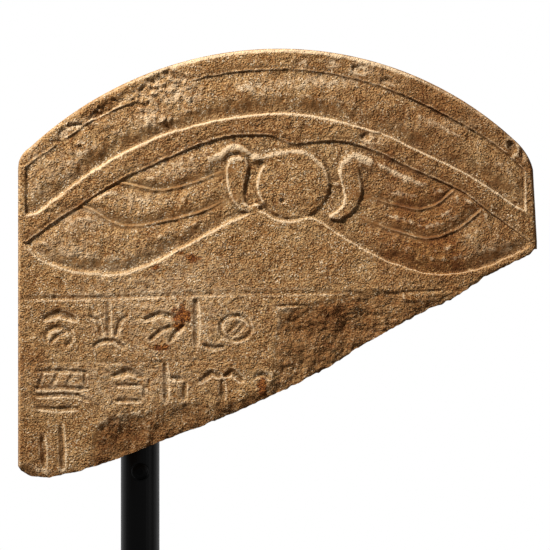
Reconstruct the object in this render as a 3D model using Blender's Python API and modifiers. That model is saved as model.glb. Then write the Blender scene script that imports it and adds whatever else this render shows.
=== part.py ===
"""Upper fragment of a round-topped stone stele, held on a round steel post with a foot plate.

Metres, +Z up, the carved face towards -Y. The origin is the middle of the foot plate's
underside. The carving is drawn in millimetres on a face 332 mm wide, with u running to
the right from the left edge and v running down from the crown, and it follows the
stele's width.
"""
import math

import bmesh
import bpy
import numpy as np
from mathutils import Matrix, Vector, noise

# Driving dimensions, in metres
STELE_WIDTH = 0.332
STELE_THICKNESS = 0.065
EDGE_ROUNDING = 0.005
STELE_ABOVE_FOOT = 0.084
POST_RADIUS = 0.0125
POST_SETBACK = 0.0285
POST_BELOW_CROWN = 0.095
POST_CHAMFER = 0.0015
SEAT_DEPTH = 0.0015
SEAT_ABOVE_EDGE = 0.0020
WELD_RADIUS = 0.004
FOOT_WIDTH = 0.260
FOOT_DEPTH = 0.160
FOOT_THICKNESS = 0.012
FOOT_CORNER = 0.008
FOOT_EDGE = 0.0012
SCREW_HEAD_RADIUS = 0.0055
SCREW_HEAD_HEIGHT = 0.0030
SCREW_SHANK_RADIUS = 0.0020
SCREW_SHANK_LENGTH = 0.0070
SCREW_SOCKET_WIDTH = 0.0035
SCREW_SOCKET_DEPTH = 0.0016
SCREW_BELOW_STONE = 0.0145
SPOT_FACE_DEPTH = 0.0014
FIT_GAP = 0.0003

# The drawing's own frame: a face 332 mm wide, with its lowest point 275 mm down
DRAWN_WIDTH = 332.0
DRAWN_HEIGHT = 275.0
DRAWN_MM = STELE_WIDTH / DRAWN_WIDTH
CROWN_HEIGHT = FOOT_THICKNESS + STELE_ABOVE_FOOT + DRAWN_HEIGHT * DRAWN_MM
STONE_BACK = POST_SETBACK - POST_RADIUS + SEAT_DEPTH - FIT_GAP
STONE_FRONT = STONE_BACK - STELE_THICKNESS

# The arched outline: one arc with a slight lean, and a soft shoulder at each end
CROWN_RADIUS = 228.0
CROWN_CENTRE = 160.0
CROWN_TOP = 0.5
CROWN_LEAN = -0.031
CROWN_STEPS = 44
LEFT_SHOULDER = {"leaves_arc": 8.0, "handle": (0.0, 68.3), "meets_side": (0.0, 77.0)}
RIGHT_SHOULDER = {"leaves_arc": 319.0, "handle": (327.5, 68.4), "meets_side": (329.5, 78.0)}
RIGHT_SIDE_FOOT = (332.0, 124.0)
DRAWN_BOTTOM = 290.0

# Edges of the carving, as (u, v) points that a smooth curve runs through
RIM_INNER = [(4.5, 77), (10, 72.5), (17, 67.5), (31, 58), (44, 49), (62, 40), (84, 31),
             (109, 22), (132, 16.5), (153, 14.5), (181, 14.5), (210, 18.5), (226, 23),
             (245, 29.5), (261, 37), (286, 50), (306, 63), (318, 72.5), (325, 79)]
BAND_TOP = [(4, 106.5), (12, 105), (21, 98.5), (45, 80.5), (70, 65.5), (103, 52),
            (136, 45), (173, 42), (202, 46), (232, 54.5), (261, 67.5), (294, 84.5),
            (310, 95), (318, 101), (325, 104.5)]
BAND_BOTTOM = [(5, 124.5), (17, 116), (37, 102.5), (70, 82.5), (103, 67.5), (130, 57.5),
               (144, 56), (161, 56), (175, 61), (189, 60.5), (202, 59.5), (225, 64.5),
               (249, 76), (286, 93.5), (302, 105), (327, 124)]
FIELD_LOW = [(3, 124), (15, 134.5), (25, 139), (34, 142), (46, 143.5), (68, 143.5),
             (86, 137), (103, 128.5), (125, 116.5), (142, 108), (156, 104), (164, 109),
             (173, 111), (188, 108.5), (206, 119.5), (222, 129), (245, 139.5),
             (261, 144.5), (284, 144), (306, 137.5), (318, 132), (328, 127)]
UPPER_FEATHERS = [(64, 85.5), (78, 89), (90, 91), (103, 89), (116, 85), (134, 78.5),
                  (218, 94), (229, 97), (241, 100), (253, 103), (261, 102.5),
                  (270, 98.5), (280, 89.5)]
LOWER_FEATHERS = [(40, 100.5), (49, 104.5), (58, 110), (66, 113), (78, 113.5),
                  (90, 111.5), (116, 105), (136, 96.5), (216, 107.5), (233, 114),
                  (249, 119), (263, 121.5), (274, 119), (282, 115), (299, 101.5)]
UPPER_FEATHER_SPANS = [(62, 146), (208, 284)]
LOWER_FEATHER_SPANS = [(38, 146), (208, 302)]

# Depths below the face, in drawn millimetres
SPANDREL_DEPTH_AT_RIM = 2.2
SPANDREL_DEPTH_AT_BAND = 3.4
WING_DEPTH = 3.4
UPPER_FEATHER_RISE = 2.2
LOWER_FEATHER_RISE = 2.0
LAST_FEATHER_RISE = 1.5
FIELD_DEPTH = 3.1
GROOVE_LIFT = 0.15
WALL_DRAFT = 0.3
CUTTER_PROUD = 3.0
STATION_STEP = 4.5

# Winged disc and the two raised serpents
DISC_CENTRE = (175.8, 86.8)
DISC_RADIUS = 23.2
DISC_TALLNESS = 0.95
DISC_PROUD = 0.4
DISC_BEDDED = 8.0
DISC_EDGE = 1.4
SERPENT_FLATNESS = 0.55
SERPENTS = {
    "left": {"head": (137.5, 64.6), "head_half": (10.5, 4.7),
             "body": [(142.5, 66, 4.6), (140.5, 74, 6.4), (139.5, 82, 6.6), (139.5, 91, 4.0),
                      (142, 97.5, 3.2), (147.5, 100.5, 2.9), (155, 100.5, 2.2)]},
    "right": {"head": (217, 70.2), "head_half": (10.8, 4.3),
              "body": [(212.5, 71, 4.8), (212, 78, 6.8), (212, 86, 6.9), (212.5, 94, 5.0),
                       (210, 101, 3.8), (204, 106, 3.2), (196, 107, 2.4)]},
}

# Ruled lines across the lower field, each with its groove width
RULED_LINES = [
    (2.6, [(6, 160), (45, 159.6), (82, 158.5), (145, 156.5), (214, 156)]),
    (2.4, [(246, 156), (287, 155)]),
    (1.5, [(14, 201), (70, 201), (104, 200), (156, 199.5)]),
    (1.4, [(7, 239), (30, 239.4), (45, 239)]),
]

# The break: where the sunk scar starts on the face, and the lowest line of the stone
SCAR_TOP = [(0, 265), (20, 272), (45, 269), (46, 251), (50, 240.5), (58, 235.5), (82, 232),
            (88, 227), (126, 226.5), (136, 224), (156, 220), (160, 213.5), (163, 200),
            (164, 180), (166, 170), (171, 166.5), (187, 162), (214, 155.5), (232, 153),
            (245, 154), (247, 161), (264, 159), (276, 155), (289, 149), (302, 142.5),
            (317, 135), (328, 129.5), (332, 123)]
BREAK_LINE = [(0, 267.5), (2, 270.5), (8, 274), (20, 275), (41, 270.5), (56, 265.5),
              (65, 262.5), (92, 251.5), (118, 242), (143, 231.5), (174, 217.5), (200, 204),
              (220, 190.5), (246, 176), (276, 162), (302, 145), (317, 137.5), (328, 132),
              (331, 129), (332, 125.5)]
SCAR_EDGE_STEP = 1.6
SCAR_DEPTH_SHARE = 0.30
BREAK_CRUMBLE = 2.6
BREAK_RISE_TO_BACK = 9.0
BREAK_ROUGHNESS = 1.3

# Where the post stands behind the stone, across the drawn face
POST_ACROSS = 77.4

# Chips knocked out of the arris: centre, half-sizes across, down and into the stone
CHIP_UNEVENNESS = 0.3
CHIP_GRAIN = 0.12
CHIPS = [
    ((98, 26), (24, 13, 3.4)),
    ((84, 43), (13, 9, 2.8)),
    ((116, 14), (12, 7, 3.0)),
    ((52, 46), (16, 5, 2.6)),
    ((316, 68), (6, 7, 3.0)),
]


def face(u, v, depth=0.0):
    """A drawn point on the carved face, sunk by a drawn depth, as world metres."""
    return Vector(((u - DRAWN_WIDTH / 2) * DRAWN_MM,
                   STONE_FRONT + depth * DRAWN_MM,
                   CROWN_HEIGHT - v * DRAWN_MM))


def curve_through(points):
    """The height v at any u on a smooth curve through the points, level past its ends."""
    u_known, v_known = np.array(points, dtype=float).T
    slope = np.gradient(v_known, u_known)

    def height(u):
        u = np.clip(u, u_known[0], u_known[-1])
        i = np.clip(np.searchsorted(u_known, u) - 1, 0, len(u_known) - 2)
        run = u_known[i + 1] - u_known[i]
        t = (u - u_known[i]) / run
        start = v_known[i] * (1 + 2 * t) * (1 - t) ** 2 + slope[i] * run * t * (1 - t) ** 2
        end = v_known[i + 1] * t * t * (3 - 2 * t) + slope[i + 1] * run * t * t * (t - 1)
        return float(start + end)
    return height


def straight_through(points):
    """The height v at any u on straight runs between the points, as broken stone has."""
    u_known, v_known = np.array(points, dtype=float).T
    return lambda u: float(np.interp(u, u_known, v_known))


rim_inner = curve_through(RIM_INNER)
band_top = curve_through(BAND_TOP)
band_bottom = curve_through(BAND_BOTTOM)
field_low = curve_through(FIELD_LOW)
upper_feathers = curve_through(UPPER_FEATHERS)
lower_feathers = curve_through(LOWER_FEATHERS)
scar_top = straight_through(SCAR_TOP)
break_line = straight_through(BREAK_LINE)


def crown_line(u):
    """The arched outline: one arc about its centre, leaning slightly up to the right."""
    across = u - CROWN_CENTRE
    drop = CROWN_RADIUS - math.sqrt(CROWN_RADIUS ** 2 - across ** 2)
    return CROWN_TOP + drop + CROWN_LEAN * across


def roughness(u, row):
    """A broken surface's rise or fall at a station and a row, between -1 and 1."""
    return noise.noise(Vector((u * 0.11, row * 2.3, 4.7))) * 1.6


def inside_spans(u, spans, ramp):
    """One inside any of the spans, nought outside, with a straight ramp at each end."""
    return max(min(1.0, max(0.0, (u - low) / ramp), max(0.0, (high - u) / ramp))
               for low, high in spans)


def clear_scene():
    for leftover in list(bpy.data.objects):
        bpy.data.objects.remove(leftover, do_unlink=True)


def make_collection(name):
    collection = bpy.data.collections.new(name)
    bpy.context.scene.collection.children.link(collection)
    return collection


def make_material(name, colour, roughness_value, metallic):
    """A plain Principled material with one colour."""
    material = bpy.data.materials.new(name)
    material.use_nodes = True
    shader = material.node_tree.nodes["Principled BSDF"]
    shader.inputs["Base Color"].default_value = (*colour, 1.0)
    shader.inputs["Roughness"].default_value = roughness_value
    shader.inputs["Metallic"].default_value = metallic
    return material


def add_object(name, data, collection, matrix=None):
    thing = bpy.data.objects.new(name, data)
    collection.objects.link(thing)
    if matrix is not None:
        thing.matrix_world = matrix
    return thing


def as_cutter(thing):
    thing.hide_render = True
    thing.display_type = "WIRE"
    return thing


def take_active(name, collection):
    """Name the primitive just added and move it to its collection."""
    thing = bpy.context.active_object
    thing.name = name
    for holder in list(thing.users_collection):
        holder.objects.unlink(thing)
    collection.objects.link(thing)
    return thing


def apply_scale(thing):
    """Put the object's scale into its mesh, so bevels keep their width."""
    thing.data.transform(Matrix.Diagonal((*thing.scale, 1.0)))
    thing.scale = (1.0, 1.0, 1.0)


def curve_to_mesh(curve_object, collection):
    """Turn a curve into a mesh with welded caps and flat caps kept as one face."""
    bpy.context.view_layer.update()
    graph = bpy.context.evaluated_depsgraph_get()
    mesh = bpy.data.meshes.new_from_object(curve_object.evaluated_get(graph))
    solid = bmesh.new()
    solid.from_mesh(mesh)
    bmesh.ops.remove_doubles(solid, verts=solid.verts, dist=1e-6)
    bmesh.ops.dissolve_limit(solid, angle_limit=math.radians(0.5), verts=solid.verts,
                             edges=solid.edges)
    bmesh.ops.recalc_face_normals(solid, faces=solid.faces)
    solid.to_mesh(mesh)
    solid.free()
    name = curve_object.name
    matrix = curve_object.matrix_world.copy()
    bpy.data.objects.remove(curve_object, do_unlink=True)
    return add_object(name, mesh, collection, matrix)


def boolean(target, tool, operation, solver="EXACT"):
    modifier = target.modifiers.new(tool.name, "BOOLEAN")
    modifier.operation = operation
    modifier.object = tool
    modifier.solver = solver
    return modifier


def carve(stele, tool):
    """Take a cut out of the stone. Its shallow walls cross too closely for exact cuts."""
    return boolean(stele, tool, "DIFFERENCE", "MANIFOLD")


def raise_on(stele, tool):
    """Leave a raised form standing on the stone."""
    return boolean(stele, tool, "UNION", "MANIFOLD")


def bevel(target, width, segments, angle):
    modifier = target.modifiers.new("rounded edges", "BEVEL")
    modifier.width = width
    modifier.segments = segments
    modifier.limit_method = "ANGLE"
    modifier.angle_limit = math.radians(angle)
    return modifier


def loft(name, sections, collection):
    """A closed solid through a row of sections that all have as many corners."""
    solid = bmesh.new()
    rings = [[solid.verts.new(corner) for corner in section] for section in sections]
    corners = len(rings[0])
    for near, far in zip(rings, rings[1:]):
        for i in range(corners):
            j = (i + 1) % corners
            solid.faces.new((near[i], near[j], far[j], far[i]))
    solid.faces.new(rings[0])
    solid.faces.new(rings[-1])
    bmesh.ops.triangulate(solid, faces=solid.faces)
    bmesh.ops.recalc_face_normals(solid, faces=solid.faces)
    mesh = bpy.data.meshes.new(name)
    solid.to_mesh(mesh)
    solid.free()
    return as_cutter(add_object(name, mesh, collection))


def shoulder(shape, steps=6):
    """The curve from the arch to the side, pulled towards its handle."""
    start = Vector((shape["leaves_arc"], crown_line(shape["leaves_arc"])))
    handle = Vector(shape["handle"])
    end = Vector(shape["meets_side"])
    turns = [i / steps for i in range(steps + 1)]
    return [start * (1 - t) ** 2 + handle * 2 * t * (1 - t) + end * t * t for t in turns]


def stele_outline():
    """The whole slab's outline, from the left foot over the crown to the right foot."""
    left = shoulder(LEFT_SHOULDER)
    right = shoulder(RIGHT_SHOULDER)
    first, last = LEFT_SHOULDER["leaves_arc"], RIGHT_SHOULDER["leaves_arc"]
    arc_u = [first + (last - first) * i / CROWN_STEPS for i in range(1, CROWN_STEPS)]
    arc = [Vector((u, crown_line(u))) for u in arc_u]
    feet = [Vector((0.0, DRAWN_BOTTOM)), Vector((DRAWN_WIDTH, DRAWN_BOTTOM))]
    return [feet[0]] + left[::-1] + arc + right + [Vector(RIGHT_SIDE_FOOT), feet[1]]


def make_slab(collection):
    """The slab before carving: a flat outline, extruded, with softly worn edges."""
    outline = bpy.data.curves.new("stele_fragment", "CURVE")
    outline.dimensions = "2D"
    outline.fill_mode = "BOTH"
    outline.extrude = STELE_THICKNESS / 2
    points = stele_outline()
    spline = outline.splines.new("POLY")
    spline.points.add(len(points) - 1)
    for point, drawn in zip(spline.points, points):
        point.co = ((drawn.x - DRAWN_WIDTH / 2) * DRAWN_MM, -drawn.y * DRAWN_MM, 0.0, 1.0)
    spline.use_cyclic_u = True
    standing = Matrix.Translation((0, STONE_FRONT + STELE_THICKNESS / 2, CROWN_HEIGHT))
    standing = standing @ Matrix.Rotation(math.radians(90), 4, "X")
    slab = curve_to_mesh(add_object("stele_fragment", outline, collection, standing), collection)
    bevel(slab, EDGE_ROUNDING, 3, 40)
    return slab


def stations(start, end, step=STATION_STEP):
    count = max(2, round((end - start) / step))
    return [start + (end - start) * i / count for i in range(count + 1)]


def section(u, profile):
    """A cutter's section at u: its corners as (v, depth), leaning out past the face."""
    return [face(u, v, depth) for v, depth in profile]


def spandrel_profile(u):
    """The sunk strip between the rim and the arched band."""
    top = rim_inner(u)
    low = max(band_top(u), top + 4)
    lean = WALL_DRAFT * CUTTER_PROUD
    return [(top - lean, -CUTTER_PROUD),
            (top + WALL_DRAFT * SPANDREL_DEPTH_AT_RIM, SPANDREL_DEPTH_AT_RIM),
            (top * 0.55 + low * 0.45, SPANDREL_DEPTH_AT_RIM * 0.5),
            (low - WALL_DRAFT * SPANDREL_DEPTH_AT_BAND, SPANDREL_DEPTH_AT_BAND),
            (low + lean, -CUTTER_PROUD)]


def wing_profile(u):
    """The field under the band: two rows of feathers that overlap, and a third below."""
    top = band_bottom(u)
    low = max(field_low(u), top + 5)
    upper_share = inside_spans(u, UPPER_FEATHER_SPANS, 7)
    lower_share = inside_spans(u, LOWER_FEATHER_SPANS, 7)
    second = min(max(lower_feathers(u), top + 2.6), low - 2.4)
    first = min(max(upper_feathers(u), top + 1.4), second - 1.2)
    third = second * 0.45 + low * 0.55
    lean = WALL_DRAFT * CUTTER_PROUD
    return [(top - lean, -CUTTER_PROUD),
            (top + 0.6, WING_DEPTH),
            (first - 0.3, WING_DEPTH - UPPER_FEATHER_RISE * upper_share),
            (first + 0.3, FIELD_DEPTH),
            (second - 0.3, FIELD_DEPTH - LOWER_FEATHER_RISE * lower_share),
            (second + 0.3, FIELD_DEPTH),
            (third, FIELD_DEPTH - LAST_FEATHER_RISE * lower_share),
            (low - 0.6, FIELD_DEPTH),
            (low + lean, -CUTTER_PROUD)]


def break_profile(u):
    """What is missing at u: the scar on the face, then the broken underside to the back."""
    low = break_line(u)
    top = min(scar_top(u), low - BREAK_CRUMBLE)
    scar = low - top
    depth = SCAR_EDGE_STEP + BREAK_CRUMBLE * 0.5 + SCAR_DEPTH_SHARE * (scar - BREAK_CRUMBLE)
    back = STELE_THICKNESS / DRAWN_MM
    rough = min(1.0, scar / 12) * BREAK_ROUGHNESS
    profile = [(top, -CUTTER_PROUD), (top + 0.2, SCAR_EDGE_STEP * min(1.0, scar / 8))]
    for row, share in enumerate((0.28, 0.55, 0.8)):
        across = SCAR_EDGE_STEP + (depth - SCAR_EDGE_STEP) * share
        profile.append((top + scar * share, max(0.4, across + rough * roughness(u, row))))
    profile.append((low, depth))
    for row, share in enumerate((0.25, 0.5, 0.75, 1.0)):
        rise = BREAK_RISE_TO_BACK * share + BREAK_ROUGHNESS * (1 + roughness(u, row + 5))
        profile.append((low - rise, depth + (back - depth) * share))
    last_v = profile[-1][0]
    below = DRAWN_BOTTOM + 10
    return profile + [(last_v, back + 5), (below, back + 5), (below, -CUTTER_PROUD)]


def break_stations():
    """Even stations, with one at each corner of the scar and of the break line."""
    places = stations(-4, DRAWN_WIDTH + 4) + [u for u, v in SCAR_TOP + BREAK_LINE]
    kept = [-4.0]
    for u in sorted(places):
        if u - kept[-1] > 0.9:
            kept.append(u)
    return kept


def groove(name, strokes, depth_share, collection):
    """Strokes cut with a pointed tool: four-sided tubes half sunk in the face."""
    lines = bpy.data.curves.new(name, "CURVE")
    lines.dimensions = "3D"
    lines.bevel_depth = DRAWN_MM
    lines.bevel_resolution = 0
    lines.use_fill_caps = True
    for width, points in strokes:
        spline = lines.splines.new("POLY")
        spline.points.add(len(points) - 1)
        for i, (u, v) in enumerate(points):
            place = face(u, v)
            spline.points[i].co = (place.x, 0.0, place.z, 1.0)
            at_end = i in (0, len(points) - 1)
            spline.points[i].radius = width / 2 * (0.45 if at_end else 1.0)
    cutter = curve_to_mesh(add_object(name, lines, collection), collection)
    cutter.data.transform(Matrix.Diagonal((1.0, depth_share, 1.0, 1.0)))
    cutter.location.y = STONE_FRONT - GROOVE_LIFT * DRAWN_MM
    return as_cutter(cutter)


def bow(centre, half_sizes, start, end, steps=7):
    """Points on a stretch of an ellipse, with the angles in degrees."""
    turns = [math.radians(start + (end - start) * i / steps) for i in range(steps + 1)]
    return [(centre[0] + half_sizes[0] * math.cos(t), centre[1] - half_sizes[1] * math.sin(t))
            for t in turns]


def sign_strokes():
    """Rows of plain strokes and bows between the ruled lines. They spell nothing."""
    first_row = [
        (5.0, [(17, 173), (26, 169.5), (37, 173.5)]),
        (3.0, bow((26, 185), (8.6, 6.6), 205, -55)),
        (2.6, [(20.5, 188.5), (25, 184), (30, 181.5)]),
        (3.0, [(46, 171.5), (51, 174), (53, 184)]),
        (3.4, [(57.5, 163), (58, 184)]),
        (3.0, [(70, 171), (65, 175), (62.5, 184)]),
        (3.2, bow((57.8, 194), (10.5, 7), 160, 20)),
        (4.4, [(81.5, 173.5), (91, 169.8), (101, 172.5)]),
        (3.6, [(84.5, 186.5), (91, 181), (97, 178)]),
        (3.6, [(97, 188), (101, 182), (106, 177.5)]),
        (4.4, [(113.5, 161.5), (114, 176), (113.8, 190)]),
        (3.0, [(119, 190), (125, 191.8), (132, 191)]),
        (2.8, bow((139, 179), (10, 8), 250, 20)),
        (2.6, bow((139, 179), (10, 8), 5, -95)),
        (1.8, [(134, 182.5), (142, 175)]),
        (1.8, [(138, 184), (145.5, 177)]),
        (1.8, [(164, 165.2), (177, 164.6), (190, 165.2)]),
    ]
    second_row = [
        (2.8, [(12, 206.8), (28, 206.2), (44.5, 207.2)]),
        (2.8, [(11, 217.6), (28, 217.2), (45, 217.8)]),
        (2.4, [(15.6, 208.6), (13.4, 215.6)]),
        (2.4, [(25.4, 208.4), (21.4, 215.6)]),
        (2.4, [(34.6, 208.6), (31, 215.6)]),
        (2.4, [(42.6, 209.2), (42.8, 215.8)]),
        (2.8, [(12, 222.4), (26, 221.8), (39, 222.2), (44.5, 225.6)]),
        (2.8, [(12, 230), (26, 230.8), (39, 230.2)]),
        (5.0, [(61.5, 209.6), (70.5, 206.4), (79.5, 210.4)]),
        (2.6, [(63, 215.6), (78.6, 215.8)]),
        (2.6, [(80.8, 217.4), (80.8, 223.6)]),
        (2.6, [(62.5, 225.6), (79, 225.4)]),
        (3.8, [(94, 201.8), (94.6, 214), (94.6, 225.5)]),
        (3.6, [(98, 211), (104.5, 211.4)]),
        (3.2, [(106.6, 214.4), (106.2, 224.5)]),
        (4.4, [(116.5, 213.2), (124, 207.4), (128.6, 209.8)]),
        (4.4, [(132.6, 209.4), (137, 207), (143.5, 212.6)]),
        (3.8, [(130.6, 213), (131.2, 225)]),
        (3.4, bow((156, 214), (6, 5), 150, 30)),
    ]
    third_row = [
        (4.2, [(15.6, 249), (16.2, 258), (16.6, 267)]),
        (4.2, [(27.4, 242), (28, 255), (28.6, 268)]),
    ]
    return first_row + second_row + third_row


def make_disc(collection):
    """The sun disc, a low drum with softened edges, its face just proud of the slab."""
    depth = (DISC_PROUD + DISC_BEDDED) * DRAWN_MM
    bed = face(*DISC_CENTRE, DISC_BEDDED)
    bpy.ops.mesh.primitive_cylinder_add(vertices=36, radius=DISC_RADIUS * DRAWN_MM,
                                        depth=depth, rotation=(math.radians(90), 0, 0))
    disc = take_active("disc", collection)
    disc.scale = (1.0, DISC_TALLNESS, 1.0)
    apply_scale(disc)
    disc.location = bed + Vector((0, -depth / 2, 0))
    bevel(disc, DISC_EDGE * DRAWN_MM, 2, 40)
    return as_cutter(disc)


def make_serpent(side, collection):
    """A reared serpent: a hood and tail as a flattened tube, and an oval head."""
    shape = SERPENTS[side]
    path = bpy.data.curves.new(side + "_body", "CURVE")
    path.dimensions = "3D"
    path.bevel_depth = DRAWN_MM
    path.bevel_resolution = 2
    path.resolution_u = 3
    path.use_fill_caps = True
    spline = path.splines.new("BEZIER")
    spline.bezier_points.add(len(shape["body"]) - 1)
    for knot, (u, v, half_width) in zip(spline.bezier_points, shape["body"]):
        place = face(u, v)
        knot.co = (place.x, 0.0, place.z)
        knot.handle_left_type = knot.handle_right_type = "AUTO"
        knot.radius = half_width
    body = curve_to_mesh(add_object(side + "_body", path, collection), collection)
    body.data.transform(Matrix.Diagonal((1.0, SERPENT_FLATNESS, 1.0, 1.0)))
    body.location.y = STONE_FRONT + FIELD_DEPTH * DRAWN_MM
    bpy.ops.mesh.primitive_uv_sphere_add(segments=16, ring_count=10, radius=1.0)
    head = take_active(side + "_head", collection)
    across, down = shape["head_half"]
    head.scale = Vector((across, FIELD_DEPTH, down)) * DRAWN_MM
    apply_scale(head)
    head.location = face(*shape["head"], FIELD_DEPTH)
    return as_cutter(body), as_cutter(head)


def make_chip(index, collection):
    """A shallow knock in the stone, a flattened ball sunk in the face."""
    (u, v), half_sizes = CHIPS[index]
    bpy.ops.mesh.primitive_ico_sphere_add(subdivisions=2, radius=1.0)
    chip = take_active(f"chip_{index + 1}", collection)
    chip.scale = Vector((half_sizes[0], half_sizes[2], half_sizes[1])) * DRAWN_MM
    apply_scale(chip)
    chip.location = face(u, v)
    for corner in chip.data.vertices:
        place = corner.co / DRAWN_MM * CHIP_GRAIN + Vector((index, 0, 0))
        corner.co *= 1 + CHIP_UNEVENNESS * noise.noise(place)
    return as_cutter(chip)


def make_stele(collection, cutters, material):
    """The one carved piece of stone, broken off along its lower right."""
    stele = make_slab(collection)
    spandrel = [section(u, spandrel_profile(u)) for u in stations(4.5, 325)]
    wings = [section(u, wing_profile(u)) for u in stations(7, 325)]
    carve(stele, loft("spandrel", spandrel, cutters))
    carve(stele, loft("wing_field", wings, cutters))
    raise_on(stele, make_disc(cutters))
    for side in SERPENTS:
        for shape in make_serpent(side, cutters):
            raise_on(stele, shape)
    carve(stele, groove("ruled_lines", RULED_LINES, 0.9, cutters))
    carve(stele, groove("sign_strokes", sign_strokes(), 0.85, cutters))
    for index in range(len(CHIPS)):
        carve(stele, make_chip(index, cutters))
    broken = [section(u, break_profile(u)) for u in break_stations()]
    carve(stele, loft("break", broken, cutters))
    stele.data.materials.append(material)
    return stele


def turned(name, profile, steps, collection):
    """A round piece: its half outline, from the top down its outer side, turned about Z."""
    mesh = bpy.data.meshes.new(name)
    corners = [(radius, 0.0, height) for radius, height in profile]
    mesh.from_pydata(corners, [(i, i + 1) for i in range(len(corners) - 1)], [])
    piece = add_object(name, mesh, collection)
    screw = piece.modifiers.new("turned", "SCREW")
    screw.axis = "Z"
    screw.angle = math.radians(360)
    screw.steps = steps
    screw.render_steps = steps
    screw.use_merge_vertices = True
    screw.merge_threshold = 0.00001
    screw.use_smooth_shade = True
    return piece


def post_place():
    """Where the post's axis crosses the floor."""
    return Vector((face(POST_ACROSS, 0).x, POST_SETBACK, 0.0))


def stone_edge_at_post():
    """The height of the stone's broken edge in front of the post."""
    return face(POST_ACROSS, break_line(POST_ACROSS)).z


def cylinder_along_y(name, radius, y_low, y_high, at, collection):
    """A round cutter whose axis runs front to back."""
    bpy.ops.mesh.primitive_cylinder_add(vertices=32, radius=radius, depth=y_high - y_low,
                                        location=(at.x, (y_low + y_high) / 2, at.z),
                                        rotation=(math.radians(90), 0, 0))
    return as_cutter(take_active(name, collection))


def make_post(collection, cutters, material):
    """The round post, welded to its foot, with a flat milled where the stone leans on it."""
    base = FOOT_THICKNESS + FIT_GAP
    top = CROWN_HEIGHT - POST_BELOW_CROWN
    turns = [math.radians(90 * i / 4) for i in range(5)]
    weld = [(POST_RADIUS + WELD_RADIUS * (1 - math.cos(t)), base + WELD_RADIUS * (1 - math.sin(t)))
            for t in turns]
    profile = [(0.0, top), (POST_RADIUS - POST_CHAMFER, top), (POST_RADIUS, top - POST_CHAMFER)]
    profile += weld + [(0.0, base)]
    post = turned("stand_post", profile, 40, collection)
    post.location = post_place()
    front = POST_SETBACK - POST_RADIUS
    seat_low = stone_edge_at_post() + SEAT_ABOVE_EDGE
    seat_back = STONE_BACK + FIT_GAP
    bpy.ops.mesh.primitive_cube_add(size=1.0)
    seat = take_active("seat", cutters)
    seat.scale = (POST_RADIUS * 4, POST_RADIUS, top - seat_low + 0.02)
    apply_scale(seat)
    seat.location = (post.location.x, seat_back - POST_RADIUS / 2, (top + 0.02 + seat_low) / 2)
    boolean(post, as_cutter(seat), "DIFFERENCE")
    at = Vector((post.location.x, 0.0, stone_edge_at_post() - SCREW_BELOW_STONE))
    spot = cylinder_along_y("spot_face", SCREW_HEAD_RADIUS + 0.0008, front - 0.004,
                            front + SPOT_FACE_DEPTH, at, cutters)
    hole = cylinder_along_y("screw_hole", SCREW_SHANK_RADIUS + FIT_GAP, front - 0.005,
                            front + SPOT_FACE_DEPTH + SCREW_SHANK_LENGTH + 0.001, at, cutters)
    boolean(post, spot, "DIFFERENCE")
    boolean(post, hole, "DIFFERENCE")
    post.data.materials.append(material)
    return post


def make_lock_screw(collection, cutters, material):
    """The button head screw on the post's front, with a hexagon socket."""
    dome = [(SCREW_HEAD_RADIUS * math.sin(math.radians(a)),
             SCREW_HEAD_HEIGHT * (0.35 + 0.65 * math.cos(math.radians(a))))
            for a in (0, 25, 45, 60, 75, 90)]
    profile = dome + [(SCREW_HEAD_RADIUS, 0.0), (SCREW_SHANK_RADIUS, 0.0),
                      (SCREW_SHANK_RADIUS, -SCREW_SHANK_LENGTH), (0.0, -SCREW_SHANK_LENGTH)]
    lock_screw = turned("lock_screw", profile, 32, collection)
    lock_screw.rotation_euler = (math.radians(90), 0, 0)
    seat = POST_SETBACK - POST_RADIUS + SPOT_FACE_DEPTH - FIT_GAP
    height = stone_edge_at_post() - SCREW_BELOW_STONE
    lock_screw.location = (post_place().x, seat, height)
    bpy.ops.mesh.primitive_cylinder_add(
        vertices=6, radius=SCREW_SOCKET_WIDTH / math.sqrt(3), depth=SCREW_SOCKET_DEPTH * 2,
        location=(post_place().x, seat - SCREW_HEAD_HEIGHT, height),
        rotation=(math.radians(90), 0, 0))
    boolean(lock_screw, as_cutter(take_active("socket", cutters)), "DIFFERENCE")
    lock_screw.data.materials.append(material)
    return lock_screw


def make_foot(collection, material):
    """The steel foot plate, its corners rounded and its edges eased."""
    bpy.ops.mesh.primitive_cube_add(size=1.0)
    foot = take_active("stand_foot", collection)
    foot.scale = (FOOT_WIDTH, FOOT_DEPTH, FOOT_THICKNESS)
    apply_scale(foot)
    plate = bmesh.new()
    plate.from_mesh(foot.data)
    upright = [edge for edge in plate.edges
               if abs(edge.verts[0].co.z - edge.verts[1].co.z) > FOOT_THICKNESS / 2]
    bmesh.ops.bevel(plate, geom=upright, offset=FOOT_CORNER, segments=5, profile=0.5,
                    affect="EDGES")
    plate.to_mesh(foot.data)
    plate.free()
    bevel(foot, FOOT_EDGE, 2, 60)
    foot.location = (0, 0, FOOT_THICKNESS / 2)
    foot.data.materials.append(material)
    return foot


def main():
    clear_scene()
    parts = make_collection("carved_stone_stele")
    cutters = make_collection("cutters")
    sandstone = make_material("sandstone", (0.30, 0.17, 0.08), 0.9, 0.0)
    black_steel = make_material("black painted steel", (0.012, 0.012, 0.012), 0.4, 0.0)
    screw_steel = make_material("blackened screw steel", (0.02, 0.02, 0.02), 0.45, 0.6)
    make_stele(parts, cutters, sandstone)
    post = make_post(parts, cutters, black_steel)
    lock_screw = make_lock_screw(parts, cutters, screw_steel)
    make_foot(parts, black_steel)
    for round_piece in (post, lock_screw):
        round_piece.data.set_sharp_from_angle(angle=math.radians(35))


main()
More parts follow.
